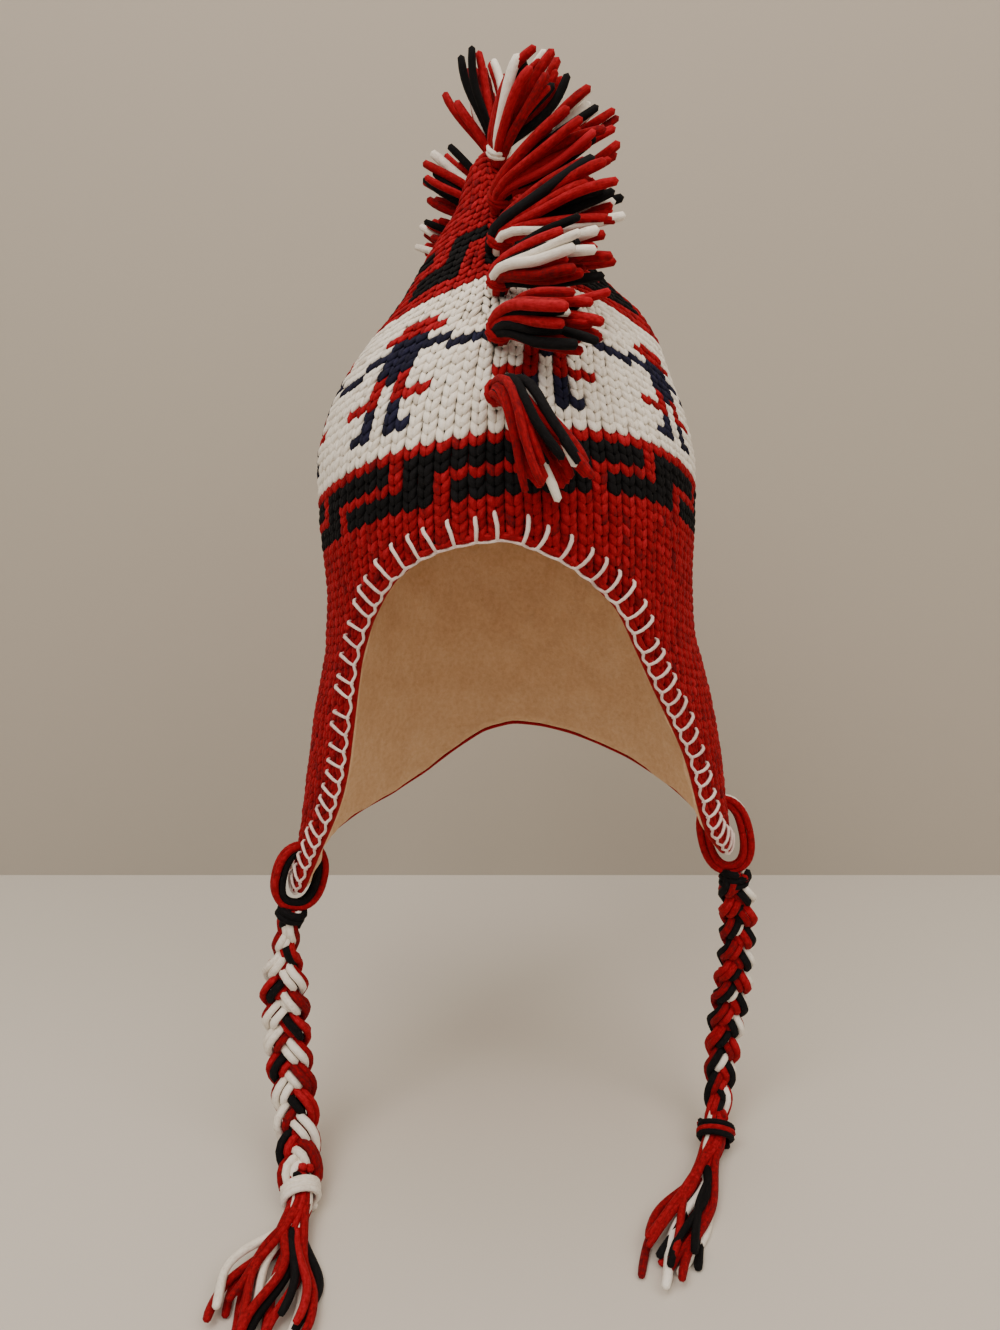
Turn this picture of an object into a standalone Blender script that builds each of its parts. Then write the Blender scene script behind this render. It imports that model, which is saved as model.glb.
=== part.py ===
"""Knitted winter hat with ear flaps, a crest of yarn tufts and two braided ties.

Metres, +Z up. The origin is where the top of the head sits inside the crown. The wearer looks
along -Y, so "front" is -Y and "right" is +X, as seen by someone facing the hat.
"""

from math import asin, atan2, cos, degrees, hypot, pi, radians, sin

import bmesh
import bpy
import numpy as np
from mathutils import Vector

# Walls and gaps
KNIT_WALL = 0.0050       # two-ply hand knit with its yarn carried behind
FLEECE_WALL = 0.0024     # brushed fleece lining
GAP = 0.0003             # between pieces that touch
LINING_GAP = 0.0006      # knit to fleece, over the faceted walls
LINING_INSET = 0.0028    # the fleece stops short of the knitted rim
RIM_ROUND = 0.0014       # how far the rim bulges below its edge line

# Crown, measured from the hat axis: the outer face at each height
SECTIONS = [
    # z,     left,   right,  front,  back
    (0.0815, 0.0130, -.0040, 0.0050, 0.0050),
    (0.0780, 0.0165, 0.0000, 0.0100, 0.0100),
    (0.0680, 0.0205, 0.0090, 0.0170, 0.0170),
    (0.0560, 0.0245, 0.0200, 0.0240, 0.0240),
    (0.0430, 0.0335, 0.0310, 0.0350, 0.0350),
    (0.0320, 0.0405, 0.0400, 0.0450, 0.0450),
    (0.0170, 0.0495, 0.0550, 0.0600, 0.0600),
    (0.0070, 0.0565, 0.0675, 0.0710, 0.0710),
    (-.0060, 0.0680, 0.0765, 0.0820, 0.0820),
    (-.0220, 0.0800, 0.0825, 0.0930, 0.0930),
    (-.0400, 0.0900, 0.0905, 0.1020, 0.1020),
    (-.0630, 0.0970, 0.0970, 0.1100, 0.1100),
    (-.0900, 0.0972, 0.0984, 0.1125, 0.1125),
    (-.1170, 0.0958, 0.0981, 0.1115, 0.1115),
    (-.1400, 0.0930, 0.0978, 0.1100, 0.1110),
    (-.1600, 0.0955, 0.1020, 0.1100, 0.1110),
    (-.1800, 0.1005, 0.1090, 0.1100, 0.1115),
    (-.2050, 0.1055, 0.1155, 0.1100, 0.1130),
    (-.2320, 0.1095, 0.1205, 0.1100, 0.1145),
    (-.2600, 0.1140, 0.1245, 0.1100, 0.1160),
    (-.2800, 0.1170, 0.1275, 0.1100, 0.1170),
    (-.3000, 0.1218, 0.1290, 0.1100, 0.1180),
]
APEX = (-0.0085, 0.0, 0.0835)
INNER_APEX_Z = 0.0735     # the knit's inner face
LINING_APEX_Z = (0.0690, 0.0655)      # the fleece's two faces
FLARE_TOP = -0.120        # below this the flaps flare and their front edges stay in
CHEEK_HALF = 0.0985       # half width that the front edges of the flaps keep
CHEEK_SHIFT = 0.0028
FLARE_FROM, FLARE_OVER = 40.0, 38.0   # degrees from the front

# Lower edge of the knit: degrees from the front, height
LEFT_EDGE = [
    (0, -.0945), (9, -.0960), (17.5, -.0995), (26, -.1060), (34, -.1155), (41, -.1265),
    (47.5, -.1390), (51.5, -.1560), (53.5, -.1760), (55, -.1980), (56.5, -.2180), (59, -.2340),
    (62, -.2480), (65.5, -.2620), (69, -.2760), (72, -.2900), (76, -.2985), (81, -.3000),
    (88, -.2975), (98, -.2935), (110, -.2895), (124, -.2850), (138, -.2800), (150, -.2700),
    (160, -.2570), (170, -.2450), (180, -.2400),
]
RIGHT_EDGE = [
    (0, -.0945), (8, -.0995), (16, -.1060), (24, -.1160), (31, -.1275), (36, -.1395),
    (40, -.1520), (45, -.1670), (50, -.1800), (54.5, -.1930), (58.5, -.2080), (61, -.2230),
    (63, -.2410), (66, -.2570), (71, -.2670), (77, -.2750), (84, -.2795), (92, -.2795),
    (101, -.2760), (112, -.2705), (124, -.2640), (138, -.2560), (150, -.2500), (160, -.2450),
    (170, -.2415), (180, -.2400),
]
FIXED_ROWS = [row[0] for row in SECTIONS[:12]]
FREE_ROWS = 7             # from the last fixed row down to the edge
INNER_FROM = 0.0620       # the inner faces close in a cone above this height

# Tie loops: degrees from the front, height of the hole in the flap, half the drop of the loop
TIE_HOLES = {"left": (-79.0, -.2730, 0.0168), "right": (85.0, -.2500, 0.0205)}
HOLE_RADIUS = 0.0050
HOLE_SIDES = 12
CUTTER_LENGTH = 0.0300    # longer than the two walls together
LOOP_RADIUS = 0.0038      # the doubled yarns that pass through the hole
LOOP_HALF_WIDTH = 0.0114
LOOP_POINTS = 16
LOOP_SIDES = 6

# Braids: centre line of each below its loop, down to its knot on the table
TABLE_Z = -0.4580
BRAID_RADIUS = 0.0125
BRAID_POINTS = 34
BRAID_LEAD = 0.0050       # straight start under the loop
LEFT_ROUTE = [
    (-.1235, -.0240, -.3340), (-.1248, -.0258, -.3560), (-.1242, -.0290, -.3790),
    (-.1222, -.0340, -.4010), (-.1185, -.0430, -.4210), (-.1145, -.0570, -.4370),
    (-.1105, -.0740, -.4440),
]
RIGHT_ROUTE = [
    (.1328, -.0080, -.3140), (.1350, -.0050, -.3380), (.1348, -.0030, -.3640),
    (.1325, -.0030, -.3900), (.1300, -.0060, -.4130), (.1275, -.0130, -.4310),
    (.1235, -.0270, -.4422),
]

# Knot that wraps the end of each braid
WRAP_LENGTH = 0.0130
WRAP_RADIUS = 0.0108
WRAP_SIDES = 12
WRAP_RINGS = [(0.0, 0.86), (0.2, 1.0), (0.8, 1.0), (1.0, 0.86)]   # share of the length, of the radius

# Tassels: far end of each on the table, half width there
TASSELS = {
    "left": ((-.1180, -.1620), 0.0240),
    "right": ((.0755, -.1290), 0.0145),
}
TASSEL_HALF_HEIGHT = 0.0060
TASSEL_RINGS = 7
TASSEL_LOCKS = 5
TASSEL_ROOT = 0.80        # share of the knot's radius
SETTLE_RATE = 2.2         # a tassel lies flat on the table by 1 / this share of its length
FAN_RATE = 1.5            # and has its full width by 1 / this share

# Crest: one row for each tuft, from the lowest one at the front, over the tip, down the back
TUFT_PITCH = 0.0287       # between knots, along the centre seam
TUFT_FIRST = 0.1595       # first knot, measured along the seam from the tip
SEAM_X = -0.0040          # the crest stands a little left of the hat's axis
SEAM_BOTTOM = -.0930      # its line is worked out down to this height
SEAM_TOP = 0.0790         # above this the wall's slope is taken as it is here
SEAM_STEPS = 150
TUFT_BEND = 0.0180        # a tuft has turned to its own direction by this length
TUFT_ROOT = 0.0042        # radius of its knot
TUFT_BODY = 0.0128        # half thickness of the full tuft
TUFT_FAN = 0.80           # share of the angle between two tufts that each one fills
TUFT_SWELL = (0.6, 0.9)   # shares of its length by which it is full thickness and full width
ROOT_GAP = 0.0005         # knot to knit, over the faceted wall
TIP_ROOT_GAP = 0.0014     # the same at the narrow tip, where the wall curves away fast
DROOP_SHARE = 0.6         # share of its length over which a tuft droops
TUFTS = [
    # rise: degrees up from the front; lean: degrees to the right; droop: degrees of fall
    # rise, lean, droop, spread, length
    (30, 30, -118, 0.0150, 0.0640),
    (33, 58, -44, 0.0160, 0.0540),
    (38, 62, -26, 0.0165, 0.0570),
    (45, 64, -8, 0.0165, 0.0670),
    (55, 56, 0, 0.0175, 0.0680),
    (71, 34, 0, 0.0200, 0.0500),
    (101, -12, 0, 0.0190, 0.0540),
    (121, -50, 0, 0.0175, 0.0560),
    (133, -58, 0, 0.0165, 0.0560),
    (140, -40, 0, 0.0160, 0.0560),
    (148, 34, 0, 0.0160, 0.0560),
    (156, -30, 8, 0.0160, 0.0560),
]
TUFT_LOCKS = 5
TUFT_RINGS = 6
LOCK_GROOVE = 0.24        # depth of the furrows between locks at the tips
LOCK_STEP = 0.0050        # how much the locks differ in length
TIP_HOLLOW = 1.6          # lock steps by which a tuft's middle stays behind its locks
STEPS_PER_RING = 4


def clear_scene():
    for thing in list(bpy.data.objects):
        bpy.data.objects.remove(thing, do_unlink=True)


def wool(name, colour, roughness=0.9, sheen=0.3):
    """A brushed yarn or fleece finish."""
    material = bpy.data.materials.new(name)
    material.use_nodes = True
    shader = material.node_tree.nodes["Principled BSDF"]
    shader.inputs["Base Color"].default_value = (*colour, 1.0)
    shader.inputs["Roughness"].default_value = roughness
    shader.inputs["Metallic"].default_value = 0.0
    shader.inputs["Sheen Weight"].default_value = sheen
    return material


def ease(value):
    """Smooth step from 0 to 1."""
    value = min(max(value, 0.0), 1.0)
    return value * value * (3.0 - 2.0 * value)


def table_at(table, key, column):
    """Value of one column of a table whose first column rises, read in a straight line."""
    return float(np.interp(key, [row[0] for row in table], [row[column] for row in table]))


def section(z):
    """Left, right, front and back reach of the knit at height z."""
    rows = SECTIONS[::-1]
    return [table_at(rows, z, column) for column in (1, 2, 3, 4)]


def knit_point(angle, z):
    """Outer face of the knit: angle in degrees from the front, positive to the right."""
    left, right, front, back = section(z)
    half, shift = (left + right) / 2, (right - left) / 2
    if z < FLARE_TOP:
        from_front = abs((angle + 180.0) % 360.0 - 180.0)
        flare = ease((from_front - FLARE_FROM) / FLARE_OVER)
        cheek = min(half, CHEEK_HALF)
        half = cheek + (half - cheek) * flare
        shift = CHEEK_SHIFT + (shift - CHEEK_SHIFT) * flare
    turn = radians(angle)
    depth = front if cos(turn) > 0 else back
    return Vector((shift + half * sin(turn), -depth * cos(turn), z))


def knit_normal(angle, z):
    """Outward normal of the knit's outer face."""
    step = 0.002
    around = knit_point(angle + 1.0, z) - knit_point(angle - 1.0, z)
    down = knit_point(angle, z - step) - knit_point(angle, z + step)
    return down.cross(around).normalized()


def edge_points(inset):
    """The lower edge as (angle, z), round the hat from back left to back right."""
    table = [(-angle, z) for angle, z in LEFT_EDGE[:0:-1]] + RIGHT_EDGE[:-1]
    if not inset:
        return table
    count = len(table)
    moved = []
    for i, (angle, z) in enumerate(table):
        before, after = table[i - 1], table[(i + 1) % count]
        turned = (after[0] - before[0] + 540.0) % 360.0 - 180.0
        around = radians(turned) * knit_point(angle, z).xy.length
        rise = after[1] - before[1]
        size = hypot(around, rise)
        across = inset * -rise / size
        moved.append((angle + degrees(across / knit_point(angle, z).xy.length),
                      z + inset * around / size))
    return moved


def wall_rings(depth, inset, rim_bulge):
    """Rings of a face that lies depth inside the knit's outer face, from the tip to the edge."""
    edge = edge_points(0)
    ends = edge_points(inset)
    heights = [z for z in FIXED_ROWS if depth == 0 or z < INNER_FROM]
    rings = []
    for z in heights:
        ring = []
        for angle, _ in edge:
            ring.append(knit_point(angle, z) - knit_normal(angle, z) * depth)
        rings.append(ring)
    for row in range(1, FREE_ROWS + 1):
        share = row / FREE_ROWS
        ring = []
        for (angle, _), (end_angle, end_z) in zip(edge, ends):
            at = angle + (end_angle - angle) * share
            z = heights[-1] + (end_z + rim_bulge - heights[-1]) * share
            ring.append(knit_point(at, z) - knit_normal(at, z) * depth)
        rings.append(ring)
    return rings


def loft(name, rings, start, end, material, smooth=True):
    """Closed solid through rings of equal length, with a point at each end."""
    mesh = bmesh.new()
    loops = [[mesh.verts.new(point) for point in ring] for ring in rings]
    count = len(loops[0])
    for upper, lower in zip(loops, loops[1:]):
        for i in range(count):
            j = (i + 1) % count
            mesh.faces.new((upper[i], upper[j], lower[j], lower[i]))
    for ring, point in ((loops[0], start), (loops[-1], end)):
        pole = mesh.verts.new(point)
        for i in range(count):
            mesh.faces.new((ring[i], ring[(i + 1) % count], pole))
    bmesh.ops.recalc_face_normals(mesh, faces=mesh.faces)
    bmesh.ops.triangulate(mesh, faces=mesh.faces)
    data = bpy.data.meshes.new(name)
    mesh.to_mesh(data)
    mesh.free()
    if smooth:
        data.shade_smooth()
    piece = bpy.data.objects.new(name, data)
    bpy.context.scene.collection.objects.link(piece)
    data.materials.append(material)
    return piece


def cut_tie_hole(piece, side):
    """Cut the round hole that the tie's yarns pass through."""
    middle, normal, _ = frame_at_hole(side)
    bpy.ops.mesh.primitive_cylinder_add(vertices=HOLE_SIDES, radius=HOLE_RADIUS, depth=CUTTER_LENGTH,
                                        location=middle)
    cutter = bpy.context.object
    cutter.name = f"cut_{piece.name}_{side}"
    cutter.rotation_mode = "QUATERNION"
    cutter.rotation_quaternion = normal.to_track_quat("Z", "Y")
    cutter.hide_render = True
    cutter.display_type = "WIRE"
    hole = piece.modifiers.new(f"tie_hole_{side}", "BOOLEAN")
    hole.operation = "DIFFERENCE"
    hole.object = cutter


def shell(name, outer_depth, wall, inset, rim, tops, material):
    """A knitted or fleece shell: its outer face down to the rim, then its inner face back up."""
    outer = wall_rings(outer_depth, inset, 0.0)
    inner = wall_rings(outer_depth + wall, inset, 0.0)
    bulge = [(a + b) / 2 for a, b in zip(outer[-1], inner[-1])]
    below = wall_rings(outer_depth + wall / 2, inset - rim, 0.0)[-1]
    bulge = [low if rim else middle for low, middle in zip(below, bulge)]
    piece = loft(name, outer + [bulge] + inner[::-1], tops[0], tops[1], material)
    for side in TIE_HOLES:
        cut_tie_hole(piece, side)
    return piece


def crown(material):
    """The knitted hat: crown, brow band, nape and both ear flaps in one wall."""
    inner_top = Vector((APEX[0], 0.0, INNER_APEX_Z))
    return shell("crown", 0.0, KNIT_WALL, 0.0, RIM_ROUND, (Vector(APEX), inner_top), material)


def lining(material):
    """The fleece inside the knit, which shows in the flaps."""
    tops = [Vector((APEX[0], 0.0, z)) for z in LINING_APEX_Z]
    return shell("lining", KNIT_WALL + LINING_GAP, FLEECE_WALL, LINING_INSET, 0.0, tops, material)


def frame_at_hole(side):
    """Centre of a tie hole in the wall, the wall's outward normal, and its way down."""
    angle, z, _ = TIE_HOLES[side]
    normal = knit_normal(angle, z)
    middle = knit_point(angle, z) - normal * (KNIT_WALL + LINING_GAP + FLEECE_WALL) / 2
    down = (Vector((0, 0, -1)) - normal * -normal.z).normalized()
    return middle, normal, down


def tie_loop(side, material):
    """Yarns doubled through the flap: a ring through the hole and round under the flap's tip."""
    middle, normal, down = frame_at_hole(side)
    half_drop = TIE_HOLES[side][2]
    centre = middle + down * half_drop
    mesh = bmesh.new()
    rings = []
    for i in range(LOOP_POINTS):
        turn = 2 * pi * (i + 0.5) / LOOP_POINTS
        across, along = cos(turn), sin(turn)
        square = (abs(across) ** 3 + abs(along) ** 3) ** (-1 / 3)
        point = centre + (normal * LOOP_HALF_WIDTH * across - down * half_drop * along) * square
        rings.append(point)
    side_way = normal.cross(down)
    loops = []
    for i, point in enumerate(rings):
        forward = (rings[(i + 1) % LOOP_POINTS] - rings[i - 1]).normalized()
        outward = forward.cross(side_way)
        loop = []
        for k in range(LOOP_SIDES):
            turn = 2 * pi * (k + 0.5) / LOOP_SIDES
            loop.append(mesh.verts.new(point + (outward * cos(turn) + side_way * sin(turn)) * LOOP_RADIUS))
        loops.append(loop)
    for i, loop in enumerate(loops):
        after = loops[(i + 1) % LOOP_POINTS]
        for k in range(LOOP_SIDES):
            m = (k + 1) % LOOP_SIDES
            mesh.faces.new((loop[k], loop[m], after[m], after[k]))
    bmesh.ops.recalc_face_normals(mesh, faces=mesh.faces)
    data = bpy.data.meshes.new(f"tie_loop_{side}")
    mesh.to_mesh(data)
    mesh.free()
    data.shade_smooth()
    piece = bpy.data.objects.new(f"tie_loop_{side}", data)
    bpy.context.scene.collection.objects.link(piece)
    data.materials.append(material)
    return piece


def smooth_route(points, count):
    """Evenly spaced points on one smooth curve through the route's own points."""
    knots = np.array(points)
    ends = np.vstack([2 * knots[0] - knots[1], knots, 2 * knots[-1] - knots[-2]])
    fine = []
    for i in range(1, len(ends) - 2):
        p0, p1, p2, p3 = ends[i - 1:i + 3]
        for t in np.linspace(0, 1, 20, endpoint=False):
            fine.append(0.5 * (2 * p1 + (p2 - p0) * t + (2 * p0 - 5 * p1 + 4 * p2 - p3) * t * t
                               + (3 * p1 - p0 - 3 * p2 + p3) * t ** 3))
    fine.append(knots[-1])
    fine = np.array(fine)
    run = np.concatenate([[0], np.cumsum(np.linalg.norm(np.diff(fine, axis=0), axis=1))])
    even = np.linspace(0, run[-1], count)
    return [Vector([float(np.interp(s, run, fine[:, k])) for k in range(3)]) for s in even]


def braid(side, route, material):
    """The plain tube of a braided tie, from its loop to its knot."""
    curve = bpy.data.curves.new(f"braid_{side}", "CURVE")
    curve.dimensions = "3D"
    curve.bevel_depth = BRAID_RADIUS
    curve.bevel_resolution = 2
    curve.use_fill_caps = True
    spline = curve.splines.new("POLY")
    spline.points.add(len(route) - 1)
    for point, place in zip(spline.points, route):
        point.co = (*place, 1.0)
    piece = bpy.data.objects.new(f"braid_{side}", curve)
    bpy.context.scene.collection.objects.link(piece)
    curve.materials.append(material)
    return piece


def section_axes(forward):
    """Level and upright axes across a direction."""
    level = forward.cross(Vector((0, 0, 1))).normalized()
    return level, level.cross(forward).normalized()


def tassel_wrap(side, route, material):
    """The knot: yarn wound round the end of the braid."""
    forward = (route[-1] - route[-2]).normalized()
    level, upright = section_axes(forward)
    start = route[-1] + forward * GAP
    rings = []
    for share, swell in WRAP_RINGS:
        centre = start + forward * WRAP_LENGTH * share
        rings.append([centre + (level * cos(t) + upright * sin(t)) * WRAP_RADIUS * swell
                      for t in (2 * pi * k / WRAP_SIDES for k in range(WRAP_SIDES))])
    return loft(f"tassel_wrap_{side}", rings, start, start + forward * WRAP_LENGTH, material)


def lock_ring(centre, wide, thick, half_wide, half_thick, locks, groove):
    """One section of a bunch of yarn: an oval with a furrow between each two locks."""
    ring = []
    for k in range(locks * 3):
        turn = 2 * pi * k / (locks * 3)
        reach = 1.0 - groove if k % 3 == 0 else 1.0
        ring.append(centre + wide * half_wide * cos(turn) * reach + thick * half_thick * sin(turn) * reach)
    return ring


def tassel(side, route, material):
    """The yarn ends below the knot, fanned out on the table in locks fused to a common head."""
    forward = (route[-1] - route[-2]).normalized()
    head = route[-1] + forward * (WRAP_LENGTH + 2 * GAP)
    (tip_x, tip_y), half_width = TASSELS[side]
    run = Vector((tip_x - head.x, tip_y - head.y, 0))
    lowest = TABLE_Z + TASSEL_HALF_HEIGHT
    rings = []
    for i in range(TASSEL_RINGS):
        share = i / (TASSEL_RINGS - 1)
        settled = ease(share * SETTLE_RATE)
        centre = head + run * share
        centre.z = head.z + (lowest - head.z) * settled
        way = forward if share == 0 else run.normalized()
        level, upright = section_axes(way)
        root = WRAP_RADIUS * TASSEL_ROOT
        thick = min(root + (TASSEL_HALF_HEIGHT - root) * settled, centre.z - TABLE_Z)
        wide = root + (half_width - root) * ease(share * FAN_RATE)
        ring = lock_ring(centre, level, upright, wide, thick, TASSEL_LOCKS, LOCK_GROOVE * share)
        if i == TASSEL_RINGS - 1:
            ring = [point + way * LOCK_STEP * ((k // 3) % 2) for k, point in enumerate(ring)]
        rings.append(ring)
    end = rings[-1][0].lerp(rings[-1][len(rings[-1]) // 2], 0.5) - way * LOCK_STEP * 2
    return loft(f"tassel_{side}", rings, head, end, material, smooth=False)


def seam_angle(z):
    """Degrees from the front at which the crown's front crosses the crest's own plane."""
    left, right, _, _ = section(z)
    across = (SEAM_X - (right - left) / 2) / ((left + right) / 2)
    return degrees(asin(max(-0.5, min(across, 0.5))))


def seam_points():
    """The crest's line on the outer face, from the front edge over the tip to the back edge."""
    heights = np.linspace(SEAM_BOTTOM, FIXED_ROWS[0], SEAM_STEPS)
    front = [knit_point(seam_angle(z), z) for z in heights]
    back = [knit_point(180.0 - seam_angle(z), z) for z in heights[::-1]]
    return front + [Vector(APEX)] + back


def seam_at(distance):
    """Point and outward normal on the centre seam, distance in front of the tip."""
    points = seam_points()
    tip = points.index(Vector(APEX))
    way = range(tip, -1, -1) if distance >= 0 else range(tip, len(points))
    left = abs(distance)
    steps = list(way)
    for a, b in zip(steps, steps[1:]):
        length = (points[b] - points[a]).length
        if length >= left:
            point = points[a].lerp(points[b], left / length)
            angle = 0.0 if distance >= 0 else 180.0
            return point, knit_normal(angle, min(point.z, SEAM_TOP))
        left -= length
    return points[steps[-1]], knit_normal(0.0, points[steps[-1]].z)


def tuft_axes(row, start_rise, reach):
    """A tuft's axes at some length along it: outward, its wide way, its thick way, its own way."""
    rise, lean, droop, _, length = row
    turn = ease(reach / TUFT_BEND)
    angle = radians(start_rise + (rise - start_rise) * turn + droop * ease(reach / length / DROOP_SHARE))
    side = radians(lean) * turn
    outward = Vector((0, -cos(angle), sin(angle)))
    across = Vector((1, 0, 0))
    wide = across * cos(side) - outward * sin(side)
    return outward, wide, Vector((0, sin(angle), cos(angle))), across * sin(side) + outward * cos(side)


def tuft(number, row, material):
    """One knotted tuft of the crest: locks of cut yarn fused to the knot they grow from."""
    _, _, _, spread, length = row
    distance = TUFT_FIRST - TUFT_PITCH * number
    place, normal = seam_at(distance)
    start_rise = degrees(atan2(normal.z, -normal.y))
    centre = place + normal * (TIP_ROOT_GAP if abs(distance) < TUFT_PITCH else ROOT_GAP)
    root = centre.copy()
    rises = [other[0] for other in TUFTS]
    low, high = max(number - 1, 0), min(number + 1, len(TUFTS) - 1)
    fan = radians((rises[high] - rises[low]) / (high - low) / 2) * TUFT_FAN
    stride = length / (TUFT_RINGS - 1) / STEPS_PER_RING
    rings = []
    out = 0.0
    for i in range(TUFT_RINGS):
        for step in range(STEPS_PER_RING if i else 0):
            reach = ((i - 1) * STEPS_PER_RING + step + 0.5) * stride
            outward, _, _, way = tuft_axes(row, start_rise, reach)
            centre = centre + way * stride
            out += way.dot(outward) * stride
        share = i / (TUFT_RINGS - 1)
        _, wide, thick, way = tuft_axes(row, start_rise, share * length)
        swollen, widened = (ease(share / by) for by in TUFT_SWELL)
        half_thick = TUFT_ROOT + (TUFT_BODY - TUFT_ROOT + fan * out) * swollen
        half_wide = TUFT_ROOT + (spread - TUFT_ROOT) * widened
        rings.append(lock_ring(centre, wide, thick, half_wide, half_thick, TUFT_LOCKS,
                               LOCK_GROOVE * share))
    rings[-1] = [point + way * LOCK_STEP * ((k // 3 + number) % 3 - 1) / 2
                 for k, point in enumerate(rings[-1])]
    tip = centre - way * LOCK_STEP * TIP_HOLLOW
    return loft(f"crest_tuft_{number + 1:02d}", rings, root, tip, material, smooth=False)


def build():
    clear_scene()
    red = wool("red_wool", (0.300, 0.006, 0.012))
    black = wool("black_wool", (0.012, 0.011, 0.013))
    white = wool("white_wool", (0.620, 0.580, 0.500))
    fleece = wool("cream_fleece", (0.720, 0.520, 0.360), 0.95, 0.5)
    crown(red)
    lining(fleece)
    for number, row in enumerate(TUFTS):
        tuft(number, row, (red, black, red, white)[number % 4])
    for side, points in (("left", LEFT_ROUTE), ("right", RIGHT_ROUTE)):
        middle, _, down = frame_at_hole(side)
        reach = 2 * TIE_HOLES[side][2] + LOOP_RADIUS * cos(pi / LOOP_SIDES) + GAP
        start = middle + down * reach
        route = smooth_route([start, start + down * BRAID_LEAD] + points, BRAID_POINTS)
        tie_loop(side, red)
        braid(side, route, red)
        tassel_wrap(side, route, white if side == "left" else black)
        tassel(side, route, red)


build()
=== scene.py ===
# Knitted ear-flap hat with a crest of yarn tufts and two braided ties.
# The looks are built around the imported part, in its frame: metres, +Z up, front is -Y, right is +X.
import math

import bmesh
import bpy
import numpy as np
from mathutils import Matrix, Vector
from mathutils.bvhtree import BVHTree
from mathutils.kdtree import KDTree


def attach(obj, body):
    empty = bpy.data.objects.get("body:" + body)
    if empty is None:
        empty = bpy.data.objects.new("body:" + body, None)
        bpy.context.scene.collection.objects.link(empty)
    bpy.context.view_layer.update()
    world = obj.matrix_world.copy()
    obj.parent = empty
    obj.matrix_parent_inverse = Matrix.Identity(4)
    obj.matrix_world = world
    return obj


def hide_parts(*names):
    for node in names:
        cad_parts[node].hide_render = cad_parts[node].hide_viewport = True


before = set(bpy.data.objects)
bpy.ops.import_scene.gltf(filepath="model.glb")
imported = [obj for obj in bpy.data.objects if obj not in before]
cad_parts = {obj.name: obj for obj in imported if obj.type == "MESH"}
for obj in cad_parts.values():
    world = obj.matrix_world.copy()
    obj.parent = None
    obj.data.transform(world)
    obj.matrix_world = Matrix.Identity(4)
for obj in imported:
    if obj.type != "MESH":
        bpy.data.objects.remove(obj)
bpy.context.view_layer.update()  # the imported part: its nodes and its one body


# Small helpers for numbers and curves

def ease(value):
    value = np.clip(value, 0.0, 1.0)
    return value * value * (3.0 - 2.0 * value)


def unit(vectors):
    return vectors / np.maximum(np.linalg.norm(vectors, axis=-1, keepdims=True), 1e-9)


def column(table, index):
    return [row[index] for row in table]


def blur(grid, sigma, axis, wrap):
    size, reach, total, weights = grid.shape[axis], int(3 * sigma), 0.0, 0.0
    for step in range(-reach, reach + 1):
        at = np.arange(size) + step
        at = at % size if wrap else np.clip(at, 0, size - 1)
        weight = math.exp(-0.5 * (step / sigma) ** 2)
        total, weights = total + weight * np.take(grid, at, axis), weights + weight
    return total / weights


def runOf(points):
    steps = np.linalg.norm(np.diff(points, axis=0), axis=1)
    return np.concatenate([[0.0], np.cumsum(steps)])


def evenPoints(points, count):
    run = runOf(points)
    at = np.linspace(0.0, run[-1], count)
    return np.stack([np.interp(at, run, points[:, k]) for k in range(points.shape[1])], axis=1)


def smoothRoute(points, count):
    # the same curve through the route's points as in the part
    knots = np.array(points, float)
    ends = np.vstack([2 * knots[0] - knots[1], knots, 2 * knots[-1] - knots[-2]])
    fine = []
    for i in range(1, len(ends) - 2):
        p0, p1, p2, p3 = ends[i - 1:i + 3]
        for t in np.linspace(0, 1, 20, endpoint=False):
            fine.append(0.5 * (2 * p1 + (p2 - p0) * t + (2 * p0 - 5 * p1 + 4 * p2 - p3) * t * t
                               + (3 * p1 - p0 - 3 * p2 + p3) * t ** 3))
    fine.append(knots[-1])
    return evenPoints(np.array(fine), count)


def framesAlong(points, firstNormal):
    # tangent, front and side axes, carried along the curve without twist
    tangents = unit(np.gradient(points, axis=0))
    front = np.array(firstNormal, float)
    fronts = []
    for tangent in tangents:
        front = unit(front - tangent * front.dot(tangent))
        fronts.append(front)
    fronts = np.array(fronts)
    return tangents, fronts, np.cross(tangents, fronts)


# Yarn: joined tubes with round ends, a UV map round and along each, and a tone for each

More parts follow.
